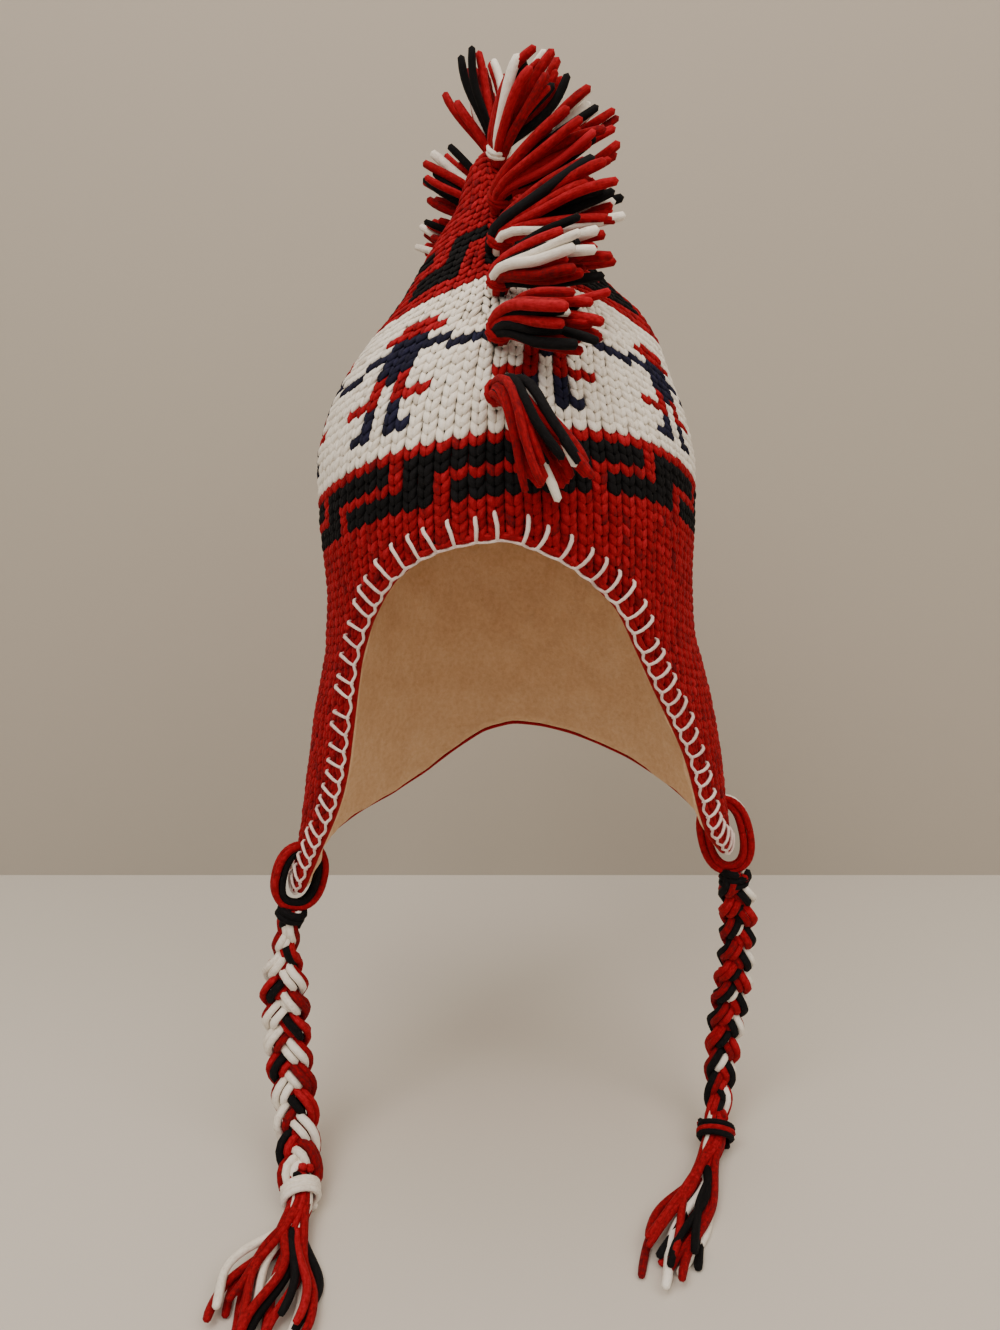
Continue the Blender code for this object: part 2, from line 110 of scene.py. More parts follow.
class YarnMesh:
    def __init__(self):
        self.points, self.shades, self.quads, self.tips = [], [], [], []
        self.quadUvs, self.tipUvs, self.quadFinish, self.tipFinish = [], [], [], []
        self.count = 0

    def add(self, centres, radii, finish=0, shade=0.0, normals=None, flat=1.0, sides=6):
        # centres: yarns x rings x 3; radii: yarns x rings; flat widens each yarn across its normal
        centres = np.asarray(centres, float)
        yarns, rings = centres.shape[:2]
        radii = np.broadcast_to(radii, (yarns, rings))
        finish = np.broadcast_to(finish, (yarns,))
        shade = np.broadcast_to(shade, (yarns,))
        tangents = unit(np.gradient(centres, axis=1))
        if normals is None:
            helper = np.where(np.abs(tangents[:, :1, 2:]) < 0.8, [[[0, 0, 1.0]]], [[[1.0, 0, 0]]])
            carried, normals = helper[:, 0], []
            for ring in range(rings):
                tangent = tangents[:, ring]
                carried = unit(carried - tangent * (carried * tangent).sum(-1, keepdims=True))
                normals.append(carried)
            normals = np.stack(normals, axis=1)
        else:
            normals = unit(normals - tangents * (normals * tangents).sum(-1, keepdims=True))
        across = np.cross(tangents, normals)
        turn = 2 * np.pi * np.arange(sides) / sides
        ringShape = (across[:, :, None] * (np.cos(turn) * flat)[None, None, :, None]
                     + normals[:, :, None] * np.sin(turn)[None, None, :, None])
        skin = centres[:, :, None] + ringShape * radii[:, :, None, None]
        startTip = centres[:, 0] - tangents[:, 0] * radii[:, :1] * 0.7
        endTip = centres[:, -1] + tangents[:, -1] * radii[:, -1:] * 0.7
        each = rings * sides + 2
        self.points.append(np.concatenate(
            [skin.reshape(yarns, -1, 3), startTip[:, None], endTip[:, None]], axis=1).reshape(-1, 3))
        self.shades.append(np.repeat(shade, each))
        k = np.arange(sides)
        after = (k + 1) % sides
        ring = np.arange(rings - 1)[:, None] * sides
        quads = np.stack([ring + k, ring + sides + k, ring + sides + after, ring + after], -1)
        quads = quads.reshape(-1, 4)
        last = (rings - 1) * sides
        tips = np.concatenate([
            np.stack([np.full(sides, each - 2), k, after], -1),
            np.stack([np.full(sides, each - 1), last + after, last + k], -1)])
        base = self.count + np.arange(yarns) * each
        self.quads.append((quads[None] + base[:, None, None]).reshape(-1, 4))
        self.tips.append((tips[None] + base[:, None, None]).reshape(-1, 3))
        along = np.concatenate([np.zeros((yarns, 1)), np.cumsum(
            np.linalg.norm(np.diff(centres, axis=1), axis=2), axis=1)], axis=1) / 0.004
        start = np.broadcast_to(along[:, :-1, None], (yarns, rings - 1, sides))
        end = np.broadcast_to(along[:, 1:, None], (yarns, rings - 1, sides))
        left = np.broadcast_to(k / sides, start.shape)
        right = left + 1 / sides
        self.quadUvs.append(np.stack([left, start, left, end, right, end, right, start],
                                     -1).reshape(-1, 2))
        tipUv = np.zeros((yarns, 2, sides, 3, 2))
        tipUv[:, :, :, 0, 0] = (k + 0.5) / sides
        tipUv[:, 0, :, 1, 0], tipUv[:, 0, :, 2, 0] = k / sides, (k + 1) / sides
        tipUv[:, 1, :, 1, 0], tipUv[:, 1, :, 2, 0] = (k + 1) / sides, k / sides
        tipUv[:, 1, :, :, 1] = along[:, -1, None, None]
        self.tipUvs.append(tipUv.reshape(-1, 2))
        self.quadFinish.append(np.repeat(finish, (rings - 1) * sides))
        self.tipFinish.append(np.repeat(finish, 2 * sides))
        self.count += yarns * each

    def build(self, name, finishes, slot, replaced=()):
        quads, tips = np.concatenate(self.quads), np.concatenate(self.tips)
        mesh = bpy.data.meshes.new(name)
        points = np.concatenate(self.points).astype(np.float32)
        mesh.vertices.add(len(points))
        mesh.vertices.foreach_set("co", points.ravel())
        corners = np.concatenate([quads.ravel(), tips.ravel()]).astype(np.int32)
        mesh.loops.add(len(corners))
        mesh.loops.foreach_set("vertex_index", corners)
        starts = np.concatenate([np.arange(len(quads)) * 4,
                                 len(quads) * 4 + np.arange(len(tips)) * 3]).astype(np.int32)
        mesh.polygons.add(len(starts))
        mesh.polygons.foreach_set("loop_start", starts)
        mesh.polygons.foreach_set("material_index", np.concatenate(
            self.quadFinish + self.tipFinish).astype(np.int32))
        mesh.update(calc_edges=True)
        uvs = np.concatenate(self.quadUvs + self.tipUvs).astype(np.float32)
        mesh.uv_layers.new(name="UVMap").data.foreach_set("uv", uvs.ravel())
        tone = mesh.attributes.new("tone", "FLOAT", "POINT")
        tone.data.foreach_set("value", np.concatenate(self.shades).astype(np.float32))
        mesh.shade_smooth()
        return place(name, mesh, finishes, replaced)


def place(name, mesh, finishes, replaced=()):
    piece = bpy.data.objects.new(name, mesh)
    bpy.context.scene.collection.objects.link(piece)
    for finish in finishes:
        mesh.materials.append(finish)
    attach(piece, "root")
    if replaced:
        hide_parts(*replaced)
    return piece


# Materials

def linear(hexColour):
    parts = [int(hexColour[i:i + 2], 16) / 255 for i in (1, 3, 5)]
    return tuple(p / 12.92 if p <= 0.04045 else ((p + 0.055) / 1.055) ** 2.4 for p in parts) + (1.0,)


def addNode(tree, kind, settings=None, links=None):
    node = tree.nodes.new(kind)
    for key, value in (settings or {}).items():
        if isinstance(key, int) or key in node.inputs:
            node.inputs[key].default_value = value
        else:
            setattr(node, key, value)
    for key, source in (links or {}).items():
        tree.links.new(source, node.inputs[key])
    return node


def newMaterial(name):
    material = bpy.data.materials.new(name)
    material.use_nodes = True
    tree = material.node_tree
    return material, tree, tree.nodes["Principled BSDF"]


def mixedTones(tree, factor, tones):
    ramp = addNode(tree, "ShaderNodeValToRGB", links={"Fac": factor})
    stops = ramp.color_ramp.elements
    stops[0].position, stops[1].position = 0.12, 0.88
    stops[0].color, stops[1].color = linear(tones[0]), linear(tones[2])
    stops.new(0.5).color = linear(tones[1])
    return ramp.outputs["Color"]


def woolYarn(name, tones, sheen, fibreDepth=0.00045):
    # soft roving-spun wool, brushed: matt, with fine fibres along the yarn and a light halo
    material, tree, shader = newMaterial(name)
    coords = addNode(tree, "ShaderNodeTexCoord")
    lengthwise = addNode(tree, "ShaderNodeMapping", {"Scale": (9.0, 0.55, 1.0)},
                         {"Vector": coords.outputs["UV"]})   # streaks about 0.4 mm wide, 7 mm long
    fibres = addNode(tree, "ShaderNodeTexNoise", {"Scale": 1.6, "Detail": 3.0, "Roughness": 0.6},
                     {"Vector": lengthwise.outputs["Vector"]})
    mottle = addNode(tree, "ShaderNodeTexNoise", {"Scale": 520.0, "Detail": 2.0},
                     {"Vector": coords.outputs["Object"]})   # 2 mm patches of fibre
    tone = addNode(tree, "ShaderNodeAttribute", {"attribute_name": "tone"})
    streaked = addNode(tree, "ShaderNodeMath", {"operation": "MULTIPLY_ADD", 1: 0.9, 2: -0.35},
                       {0: fibres.outputs[0]})
    patched = addNode(tree, "ShaderNodeMath", {"operation": "MULTIPLY_ADD", 1: 0.8},
                      {0: mottle.outputs[0], 2: streaked.outputs[0]})
    toned = addNode(tree, "ShaderNodeMath", {"operation": "MULTIPLY_ADD", 1: 0.22},
                    {0: tone.outputs["Fac"], 2: patched.outputs[0]})
    tree.links.new(mixedTones(tree, toned.outputs[0], tones), shader.inputs["Base Color"])
    bump = addNode(tree, "ShaderNodeBump", {"Strength": 0.6, "Distance": fibreDepth},
                   {"Height": patched.outputs[0]})
    tree.links.new(bump.outputs["Normal"], shader.inputs["Normal"])
    shader.inputs["Roughness"].default_value = 0.92
    shader.inputs["Specular IOR Level"].default_value = 0.2
    shader.inputs["Sheen Weight"].default_value = sheen
    shader.inputs["Sheen Roughness"].default_value = 0.5
    shader.inputs["Sheen Tint"].default_value = linear(tones[2])
    return material


def brushedFleece(name, tones):
    # polyester fleece with a raised nap: small soft clumps 1 to 3 mm across, no weave to see
    material, tree, shader = newMaterial(name)
    coords = addNode(tree, "ShaderNodeTexCoord")
    clumps = addNode(tree, "ShaderNodeTexNoise", {"Scale": 330.0, "Detail": 4.0, "Roughness": 0.65},
                     {"Vector": coords.outputs["Object"]})
    broad = addNode(tree, "ShaderNodeTexNoise", {"Scale": 45.0, "Detail": 1.0},
                    {"Vector": coords.outputs["Object"]})
    both = addNode(tree, "ShaderNodeMath", {"operation": "MULTIPLY_ADD", 1: 0.5},
                   {0: broad.outputs[0], 2: clumps.outputs[0]})
    eased = addNode(tree, "ShaderNodeMath", {"operation": "SUBTRACT", 1: 0.25},
                    {0: both.outputs[0]})
    tree.links.new(mixedTones(tree, eased.outputs[0], tones), shader.inputs["Base Color"])
    bump = addNode(tree, "ShaderNodeBump", {"Strength": 0.7, "Distance": 0.0008},
                   {"Height": clumps.outputs[0]})
    tree.links.new(bump.outputs["Normal"], shader.inputs["Normal"])
    shader.inputs["Roughness"].default_value = 0.95
    shader.inputs["Specular IOR Level"].default_value = 0.15
    shader.inputs["Sheen Weight"].default_value = 0.5
    shader.inputs["Sheen Roughness"].default_value = 0.4
    shader.inputs["Sheen Tint"].default_value = linear(tones[2])
    return material


redWool = woolYarn("red_wool_yarn", ("#5c050e", "#940a16", "#b31b28"), 0.14)
blackWool = woolYarn("black_wool_yarn", ("#050506", "#0c0b0d", "#161518"), 0.06)
whiteWool = woolYarn("white_wool_yarn", ("#d6ccbf", "#f3ece0", "#fbf6ee"), 0.12)
navyWool = woolYarn("navy_wool_yarn", ("#0c0c19", "#18182c", "#262643"), 0.08)
pinkishWool = woolYarn("undyed_edging_yarn", ("#c7aaa4", "#ecd6cf", "#f6e9e2"), 0.12)
# the knit's inner face and its carried yarns: the red and white wool darkened, as painted shade in
# the gaps between the stitches
shadedFloatWool = woolYarn("red_floats_with_painted_shade", ("#2c0307", "#4c060c", "#640b13"), 0.05)
shadedPaleFloatWool = woolYarn("white_floats_with_painted_shade", ("#6f675d", "#9d968b", "#b9b2a7"), 0.05)
fleece = brushedFleece("cream_fleece_nap", ("#cfa47c", "#e0bb93", "#eccdaa"))
wools = {"r": redWool, "b": blackWool, "w": whiteWool, "n": navyWool}


# The knit's outer face, measured on the part's crown as a radius round the hat's axis

crownGrid = {
    "top": 0.0835, "step": 0.0015, "rows": 257, "turns": 360,
    "apexX": -0.0085, "axisFloor": -0.275,   # below it only one flap is left, so the axis stays
    "castFrom": 0.25, "smooth": 3.0,
    "tieHoles": ((-79.0, -0.2730), (85.0, -0.2500)), "holeClear": 0.008,
    "edgeTurns": 720, "rimBulge": 0.0012, "edgePoints": 1200,
}
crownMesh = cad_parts["crown"].data
crownTree = BVHTree.FromPolygons([v.co for v in crownMesh.vertices],
                                 [tuple(p.vertices) for p in crownMesh.polygons])
gridZ = crownGrid["top"] - crownGrid["step"] * np.arange(crownGrid["rows"])


def measuredAxis():
    middles = []
    for z in gridZ:
        z = max(z, crownGrid["axisFloor"])
        left = crownTree.ray_cast(Vector((-0.4, 0, z)), Vector((1, 0, 0)))[0]
        right = crownTree.ray_cast(Vector((0.4, 0, z)), Vector((-1, 0, 0)))[0]
        middles.append((left.x + right.x) / 2 if left and right else crownGrid["apexX"])
    return blur(np.array(middles), 3.0, 0, False)


axisX = measuredAxis()


def castRadius(turn, z):
    # distance from the axis to the outer face, or None below the edge
    out = Vector((math.sin(turn), -math.cos(turn), 0))
    middle = Vector((float(np.interp(-z, -gridZ, axisX)), 0, z))
    hit = crownTree.ray_cast(middle + out * crownGrid["castFrom"], -out, crownGrid["castFrom"])
    return None if hit[0] is None else crownGrid["castFrom"] - hit[3]


def measuredRadius():
    radius = np.zeros((crownGrid["turns"], crownGrid["rows"]))
    known = np.zeros_like(radius)
    known[:, 0] = 1.0
    for i in range(crownGrid["turns"]):
        turn = math.radians(i * 360 / crownGrid["turns"])
        for j in range(1, crownGrid["rows"]):
            found = castRadius(turn, gridZ[j])
            if found is not None:
                radius[i, j], known[i, j] = found, 1.0
    degrees = np.arange(crownGrid["turns"])[:, None] * 360 / crownGrid["turns"]
    for holeAt, holeZ in crownGrid["tieHoles"]:
        away = np.radians((degrees - holeAt + 180) % 360 - 180) * 0.115
        known[np.hypot(away, gridZ[None] - holeZ) < crownGrid["holeClear"]] = 0.0
    top, bottom = radius * known, known + 1e-6
    for axis, wrap in ((0, True), (1, False)):
        top = blur(top, crownGrid["smooth"], axis, wrap)
        bottom = blur(bottom, crownGrid["smooth"], axis, wrap)
    smooth = top / bottom
    for i in range(crownGrid["turns"]):   # below the edge the last good radius goes on
        good = np.nonzero(bottom[i] > 0.05)[0][-1]
        smooth[i, good + 1:] = smooth[i, good]
    smooth[:, 0] = 0.0
    return smooth


gridRadius = measuredRadius()


def bilinear(grid, turns, rows):
    turns = np.asarray(turns) % grid.shape[0]
    rows = np.clip(rows, 0, grid.shape[1] - 1.001)
    i, j = np.floor(turns).astype(int) % grid.shape[0], np.floor(rows).astype(int)
    a, b, k = turns - np.floor(turns), rows - j, (i + 1) % grid.shape[0]
    return ((grid[i, j] * (1 - b) + grid[i, j + 1] * b) * (1 - a)
            + (grid[k, j] * (1 - b) + grid[k, j + 1] * b) * a)


def pointAt(degrees, z):
    radius = bilinear(gridRadius, degrees, (crownGrid["top"] - z) / crownGrid["step"])
    turn = np.radians(degrees)
    return np.stack([np.interp(-z, -gridZ, axisX) + radius * np.sin(turn),
                     -radius * np.cos(turn), z + 0 * radius], -1)


def normalAt(degrees, z):
    around = pointAt(degrees + 2.0, z) - pointAt(degrees - 2.0, z)
    down = pointAt(degrees, z - 0.003) - pointAt(degrees, z + 0.003)
    return unit(np.cross(down, around))


def measuredRun():
    # length down each meridian from the tip, and the height at each millimetre of it
    heights = []
    for i in range(crownGrid["turns"]):
        line = pointAt(np.full(len(gridZ), float(i)), gridZ)
        heights.append(np.interp(np.arange(430) * 0.001, runOf(line), gridZ))
    return np.array(heights)


gridHeight = measuredRun()


def heightAt(degrees, run):
    return bilinear(gridHeight, degrees, np.asarray(run) / 0.001)


def measuredEdge():
    # the lower edge as degrees and height, evenly spaced along it
    found = []
    for i in range(crownGrid["edgeTurns"]):
        degrees = i * 360 / crownGrid["edgeTurns"]
        turn, z = math.radians(degrees), gridZ[-1]
        while castRadius(turn, z) is None:
            z += crownGrid["step"]
        low, high = z - crownGrid["step"], z
        for _ in range(5):
            middle = (low + high) / 2
            low, high = (low, middle) if castRadius(turn, middle) is not None else (middle, high)
        found.append((degrees, high))
    found = np.array(found)
    found[:, 1] = blur(found[:, 1], 2.0, 0, True)
    closed = np.vstack([found, [360.0, found[0, 1]]])
    line = pointAt(closed[:, 0], closed[:, 1])
    at = np.linspace(0, 1, crownGrid["edgePoints"], endpoint=False) * runOf(line)[-1]
    edge = np.stack([np.interp(at, runOf(line), closed[:, k]) for k in (0, 1)], 1)
    return insetEdge(edge, crownGrid["rimBulge"])


def edgeAxes(edge):
    # point, tangent to the right as seen from outside, outward normal, and the way into the knit
    points = pointAt(edge[:, 0], edge[:, 1])
    tangents = unit(blur(np.roll(points, -3, 0) - np.roll(points, 3, 0), 2.0, 0, True))
    normals = normalAt(edge[:, 0], edge[:, 1])
    return points, tangents, normals, unit(np.cross(normals, tangents))


def insetEdge(edge, inset):
    points, _, _, inward = edgeAxes(edge)
    moved = points + inward * inset
    around = np.degrees(np.arctan2(moved[:, 0] - np.interp(-moved[:, 2], -gridZ, axisX),
                                   -moved[:, 1]))
    turned = (around - edge[:, 0] + 180) % 360 - 180
    return np.stack([edge[:, 0] + turned, moved[:, 2]], 1)


knitEdge = measuredEdge()
edgePoint, edgeTangent, edgeNormal, edgeInward = edgeAxes(knitEdge)
edgeLength = runOf(np.vstack([edgePoint, edgePoint[:1]]))[-1]
edgeFinder = KDTree(len(edgePoint))
for index, spot in enumerate(edgePoint):
    edgeFinder.insert(spot, index)
edgeFinder.balance()
print(f"knit face measured: lower edge {edgeLength:.3f} m, tip to lowest point "
      f"{crownGrid['top'] - edgePoint[:, 2].min():.3f} m")


# Knit: stockinette stitches, each a V of two plump legs, set in rows and columns with their charts

knit = {
    "wedges": 8, "figureAt": -35.5,       # one figure in each eighth of the hat
    "brimColumns": 11, "rowBelow": 0.00445, "bandRows": 17, "rowsAbove": 22,
    # degrees from the front, length down from the tip to the pale band's two borders
    "bandTop": [(-180, .098), (-120, .104), (-90, .108), (-58, .1031), (-43, .0962), (-26, .0928),
                (-10, .0865), (10, .0900), (34, .1060), (43, .1155), (52, .1202), (66, .1261),
                (90, .127), (120, .118), (180, .098)],
    "bandBottom": [(-180, .182), (-120, .194), (-90, .197), (-63, .1916), (-54, .1884),
                   (-42, .1835), (-32, .1799), (-14, .1756), (0, .1735), (19, .1740),
                   (35, .1768), (45, .1815), (59, .1897), (68, .1946), (90, .199), (120, .196),
                   (180, .182)],
    "columnWidth": [(0, .0074), (17, .0062), (28, .0058), (39, .0054)],
    "legSteps": (0.0, 0.26, 0.62, 1.0), "legSwell": (0.55, 1.0, 0.98, 0.55),
    "legFoot": (0.10, -0.62), "legHead": (0.36, 0.95),      # shares of a column and of a row
    "footRise": 0.0008, "headSink": 0.0010, "sink": 0.0012,
    "legWidth": 0.25, "legThickness": 0.00135, "seed": 11,
    # figure: row above the band's lower border, columns either side of its middle, colour
    "figure": {2: "nn.", 3: "n..", 4: "n..", 5: "rrr", 6: "r..", 7: "r..", 8: "n..", 9: "n..nn",
               10: "nnn", 11: "n..", 12: "rr.", 13: "r.."},
    "figureMiddle": {7: "n", 8: "n", 9: "n", 10: "n", 11: "n", 12: "r", 13: "r"},
    # meander under the band: the columns at which its uprights start, of 88 round the hat
    "uprights": (0, 8, 17, 24, 31, 38, 45, 52, 59, 66, 73, 80, 88),
}


def closedTable(table):
    around = np.arange(360.0)
    line = np.interp((around + 180) % 360 - 180, column(table, 0), column(table, 1))
    return blur(line, 5.0, 0, True)


bandTopLine, bandBottomLine = closedTable(knit["bandTop"]), closedTable(knit["bandBottom"])


def runAt(degrees, row):
    # length down from the tip to a row, counted up from the pale band's lower border
    around = np.asarray(degrees) % 360
    top = np.interp(around, np.arange(361), np.append(bandTopLine, bandTopLine[0]))
    bottom = np.interp(around, np.arange(361), np.append(bandBottomLine, bandBottomLine[0]))
    below = bottom - row * knit["rowBelow"]
    within = bottom + (top - bottom) * row / knit["bandRows"]
    above = top * (1 - (row - knit["bandRows"]) / knit["rowsAbove"])
    return np.where(row < 0, below, np.where(row < knit["bandRows"], within, above))


def countColumns():
    # columns in one wedge at each half row
    rows = np.arange(-60, 39.5, 0.5)
    around = np.arange(0.0, 361.0, 3.0)
    counts = []
    for row in rows:
        line = pointAt(around, heightAt(around, runAt(around, row)))
        width = np.interp(row, column(knit["columnWidth"], 0), column(knit["columnWidth"], 1))
        counts.append(max(0.6, runOf(line)[-1] / knit["wedges"] / width) if row > 0
                      else knit["brimColumns"])
    return rows, np.minimum(blur(np.array(counts), 2.0, 0, False), knit["brimColumns"])


columnRows, columnCounts = countColumns()


def knitPlace(wedge, offset, row):
    # surface point and normal at a column offset from a wedge's middle, both real numbers
    perColumn = 360 / knit["wedges"] / np.interp(row, columnRows, columnCounts)
    degrees = knit["figureAt"] + wedge * 360 / knit["wedges"] + offset * perColumn
    z = heightAt(degrees, runAt(degrees, row))
    return degrees, z


def stitchColour(wedge, j, row):
    if 0 <= row < knit["bandRows"]:
        if j == 0:
            return knit["figureMiddle"].get(row, "w")
        chart = knit["figure"].get(row, "")
        mark = chart[abs(j) - 1] if abs(j) <= len(chart) else "."
        return "w" if mark == "." else mark
    if -6 <= row <= -2:
        at = (wedge * knit["brimColumns"] + j + knit["brimColumns"] // 2) % 88
        start = max(u for u in knit["uprights"] if u <= at)
        end = min(u for u in knit["uprights"] if u > at)
        upper, lower = row >= -3, row <= -5
        if at - start < 2:
            return "b"
        if at - start == 2:
            return "b" if upper else "r"
        if at == end - 1:
            return "b" if lower else "r"
        return "b" if upper or lower else "r"
    if 19 <= row <= 25:
        upper, lower = row >= 24, row <= 21
        if j in (0, 1):
            return "b"
        if j > 1:
            return "b" if upper else "r"
        if j > -3:
            return "b" if lower else "r"
        return "b" if upper or lower else "r"
    return "r"


def listStitches():
    stitches = []   # wedge, offset of the middle, width in columns, row, colour
    for row in range(-52, knit["bandRows"] + knit["rowsAbove"] - 1):
        half = np.interp(row + 0.5, columnRows, columnCounts) / 2
        last = int(half + 0.5)
        border = half - (last - 0.5)
        if last > 0 and border < 0.5:
            last, border = last - 1, border + 1.0
        for wedge in range(knit["wedges"]):
            for j in range(-last, last + 1):
                middle, width = float(j), 1.0
                if last == 0:
                    width = 2 * half
                elif abs(j) == last:
                    width = border
                    middle = math.copysign(last - 0.5 + border / 2, j)
                stitches.append((wedge, middle, width, row, stitchColour(wedge, j, row)))
    return stitches


def buildKnit():
    stitches = listStitches()
    rng = np.random.default_rng(knit["seed"])
    wedge, middle, width, row = (np.array(column(stitches, k), float) for k in range(4))
    colour = np.array(column(stitches, 4))
    meshes = {}
    steps = np.array(knit["legSteps"])
    columnDegrees = 360 / knit["wedges"] / np.interp(row + 0.5, columnRows, columnCounts)
    centreTurn, centreZ = knitPlace(wedge, middle, row + 0.5)
    radius = np.linalg.norm(pointAt(centreTurn, centreZ)[:, :2], axis=1)
    columnMetres = np.radians(columnDegrees) * radius
    edgeTurn = np.append(knitEdge[:, 0], knitEdge[0, 0] + 360) % 360
    order = np.argsort(edgeTurn)
    for side in (-1, 1):
        jitter = rng.normal(0, 1, (4, len(stitches)))
        across = (knit["legFoot"][0] + (knit["legHead"][0] - knit["legFoot"][0]) * steps ** 0.85)
        across = side * across[None] * width[:, None] + 0.025 * jitter[0][:, None]
        up = knit["legFoot"][1] + (knit["legHead"][1] - knit["legFoot"][1]) * steps
        up = up[None] + 0.04 * jitter[1][:, None]
        lift = knit["footRise"] - (knit["footRise"] + knit["headSink"]) * steps ** 1.3
        offset = middle[:, None] + across
        atRow = row[:, None] + 0.5 + up
        turn, z = knitPlace(wedge[:, None], offset, atRow)
        normals = normalAt(turn, z)
        lift = lift[None] - knit["sink"] + 0.00012 * jitter[2][:, None]
        centres = pointAt(turn, z) + normals * lift[..., None]
        scale = np.clip(columnMetres / 0.0072, 0.45, 1.15) * (0.55 + 0.45 * np.minimum(width, 1.15))
        radii = (knit["legThickness"] * scale * (1 + 0.05 * jitter[3]))[:, None]
        radii = radii * np.array(knit["legSwell"])[None]
        middleOfLeg = centres[:, 1:3].mean(axis=1)
        edgeZ = np.interp(turn[:, 1:3].mean(axis=1) % 360, edgeTurn[order],
                          np.append(knitEdge[:, 1], knitEdge[0, 1])[order])
        away = np.array([edgeFinder.find(spot)[2] for spot in middleOfLeg])
        kept = (z[:, 1:3].mean(axis=1) > edgeZ) & (away > 0.0022)
        flat = knit["legWidth"] * 0.0072 / knit["legThickness"]
        degrees = (turn[:, 1] + 180) % 360 - 180
        low = z[:, 1] < -0.105
        for letter in "rbwn":
            chosen = kept & (colour == letter)
            regions = [("", chosen)]
            if letter == "r":
                regions = [("_crown", chosen & ~low),
                           ("_left_flap", chosen & low & (degrees <= -40) & (degrees > -128)),
                           ("_right_flap", chosen & low & (degrees >= 40) & (degrees < 128)),
                           ("_nape", chosen & low & ((degrees <= -128) | (degrees >= 128))),
                           ("_brow", chosen & low & (np.abs(degrees) < 40))]
            for region, picked in regions:
                if picked.any():
                    mesh = meshes.setdefault((letter, region), YarnMesh())
                    mesh.add(centres[picked], radii[picked], 0, rng.normal(0, 0.5, picked.sum()),
                             normals[picked], flat)
    names = {"r": "red", "b": "black", "w": "white", "n": "navy"}
    slots = {"r": "red_wool", "b": "black_wool", "w": "white_wool", "n": "black_wool"}
    for (letter, region), mesh in meshes.items():
        mesh.build(f"knit_{names[letter]}{region}", [wools[letter]], slots[letter], ["crown"])
    print(f"knit: {len(stitches)} stitches charted")


buildKnit()


# Walls: the knit's inner face with its carried yarns, coloured darker as painted shade between the
# stitches, and the fleece inside it

def shellRings(edge, depths, turns, upper, lower, split):
    # rings of points from the tip to the edge, one set at each depth
    picks = np.linspace(0, len(edge), turns, endpoint=False).astype(int)
    ends = edge[picks]
    rings = []
    for depth, top in depths:
        rows = []
        for z in np.linspace(top, split, upper):
            rows.append((ends[:, 0], np.full(turns, z)))
        for share in np.arange(1, lower + 1) / lower:
            rows.append((ends[:, 0], split + (ends[:, 1] - split) * share))
        rings.append([pointAt(a, z) - normalAt(a, z) * depth for a, z in rows])
    return rings


def closedShell(name, rings, poles):
    # one skin through the rings, closed with a pole at each end
    mesh = bmesh.new()
    loops = [[mesh.verts.new(spot) for spot in ring] for ring in rings]
    rows = [[mesh.edges.new((ring[i - 1], ring[i])) for i in range(len(ring))] for ring in loops]
    for upper, lower in zip(rows, rows[1:]):
        bmesh.ops.bridge_loops(mesh, edges=upper + lower)
    for ring, pole in ((loops[0], poles[0]), (loops[-1], poles[1])):
        tip = mesh.verts.new(pole)
        for i in range(len(ring)):
            mesh.faces.new((ring[i - 1], ring[i], tip))
    bmesh.ops.recalc_face_normals(mesh, faces=mesh.faces)
    data = bpy.data.meshes.new(name)
    mesh.to_mesh(data)
    mesh.free()
    data.shade_smooth()
    return data


wall = {
    "turns": 220, "upper": 16, "lower": 22, "split": -0.060, "innerTop": 0.064,
    "outerDepth": 0.0026, "innerDepth": 0.0050,
    "fleeceDepths": (0.0056, 0.0080), "fleeceInset": 0.0028, "fleeceTurns": 260,
    "fleeceUpper": 20, "fleeceLower": 44, "fleeceTops": (0.0600, 0.0570), "nap": 0.00045,
    "paleBand": (0.5, 16.5),
}


def buildWall():
    depths = ((wall["outerDepth"], 0.0815), (wall["innerDepth"], wall["innerTop"]))
    outer, inner = shellRings(knitEdge, depths, wall["turns"], wall["upper"], wall["lower"],
                              wall["split"])
    rim = (outer[-1] + inner[-1]) / 2 + np.array([0, 0, -0.0006])
    poles = ((crownGrid["apexX"], 0, 0.0812), (crownGrid["apexX"], 0, 0.0725))
    mesh = closedShell("knit_wall", outer + [rim] + inner[::-1], poles)
    piece = place("knit_wall", mesh, [shadedFloatWool, shadedPaleFloatWool], ["crown"])
    for face in mesh.polygons:   # the carried yarns behind the pale band are pale, darkened as painted shade like the red ones
        x, y, z = face.center
        turn = math.degrees(math.atan2(x - float(np.interp(-z, -gridZ, axisX)), -y))
        low, high = (float(heightAt(turn, runAt(turn, row))) for row in wall["paleBand"])
        face.material_index = 1 if low < z < high else 0
    return piece


